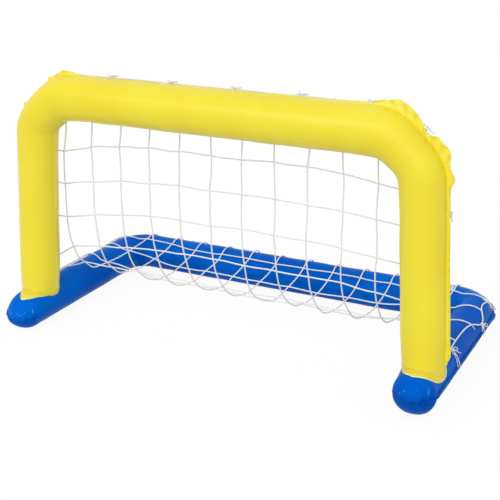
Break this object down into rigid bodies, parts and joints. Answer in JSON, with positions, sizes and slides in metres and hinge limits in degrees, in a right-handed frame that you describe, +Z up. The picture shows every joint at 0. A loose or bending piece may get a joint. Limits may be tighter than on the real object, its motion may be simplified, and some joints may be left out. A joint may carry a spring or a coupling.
{
  "type": "inflatable water polo goal",
  "caption": "Inflatable pool goal: welded tubular arch on a welded U-shaped base, with a knotted net tied to the weld margins and push-in inflation valves.",
  "frame": {"origin": "on the floor, under the middle of the goal's bounding box", "axes": "+X to the right seen from in front of the mouth, +Z up, the mouth faces -Y"},
  "size_m": [1.4046, 0.7706, 0.802],
  "materials": {
    "yellow_vinyl": "satin gloss welded vinyl film",
    "blue_vinyl": "glossy welded vinyl film",
    "white_cord": "twisted white cord",
    "clear_vinyl": "milky soft vinyl"
  },
  "bodies": {
    "goal": {"arch_chamber": "yellow_vinyl", "arch_valve_seat": "clear_vinyl", "base_chamber": "blue_vinyl", "base_valve_seat": "clear_vinyl", "net_curtain": "white_cord", "net_floor": "white_cord", "net_heel_left": "white_cord", "net_heel_right": "white_cord", "net_knee": "white_cord", "net_leg_left": "white_cord", "net_leg_right": "white_cord", "net_rear": "white_cord", "net_side_left": "white_cord", "net_side_right": "white_cord", "net_top": "white_cord", "tie_arch_corner_left": "white_cord", "tie_arch_corner_right": "white_cord", "tie_base_corner_left": "white_cord", "tie_base_corner_right": "white_cord", "tie_leg_left_1": "white_cord", "tie_leg_left_2": "white_cord", "tie_leg_right_1": "white_cord", "tie_leg_right_2": "white_cord", "tie_post_left": "white_cord", "tie_post_right": "white_cord", "tie_rear_1": "white_cord", "tie_rear_2": "white_cord", "tie_rear_3": "white_cord", "tie_rear_4": "white_cord", "tie_rear_5": "white_cord", "tie_top_1": "white_cord", "tie_top_2": "white_cord", "tie_top_3": "white_cord", "tie_top_4": "white_cord", "tie_top_5": "white_cord"},
    "arch_stem": {"arch_valve_stem": "clear_vinyl"},
    "arch_plug": {"arch_valve_plug": "clear_vinyl"},
    "base_stem": {"base_valve_stem": "clear_vinyl"},
    "base_plug": {"base_valve_plug": "clear_vinyl"}
  },
  "joints": [
    {"name": "arch_stem_slide", "type": "slide", "parent": "goal", "child": "arch_stem", "axis": [0, 1, 0], "range_m": [0, 0.01]},
    {"name": "arch_plug_hinge", "type": "hinge", "parent": "arch_stem", "child": "arch_plug", "pos_m": [-0.60883, -0.18665, 0.30077], "axis": [-0.9983, 0, 0.0574], "range_deg": [0, 150]},
    {"name": "base_stem_slide", "type": "slide", "parent": "goal", "child": "base_stem", "axis": [0, -0.1736, 0.9848], "range_m": [0, 0.01]},
    {"name": "base_plug_hinge", "type": "hinge", "parent": "base_stem", "child": "base_plug", "pos_m": [0.53, 0.30565, 0.11471], "axis": [-1, 0, 0], "range_deg": [0, 150]}
  ]
}
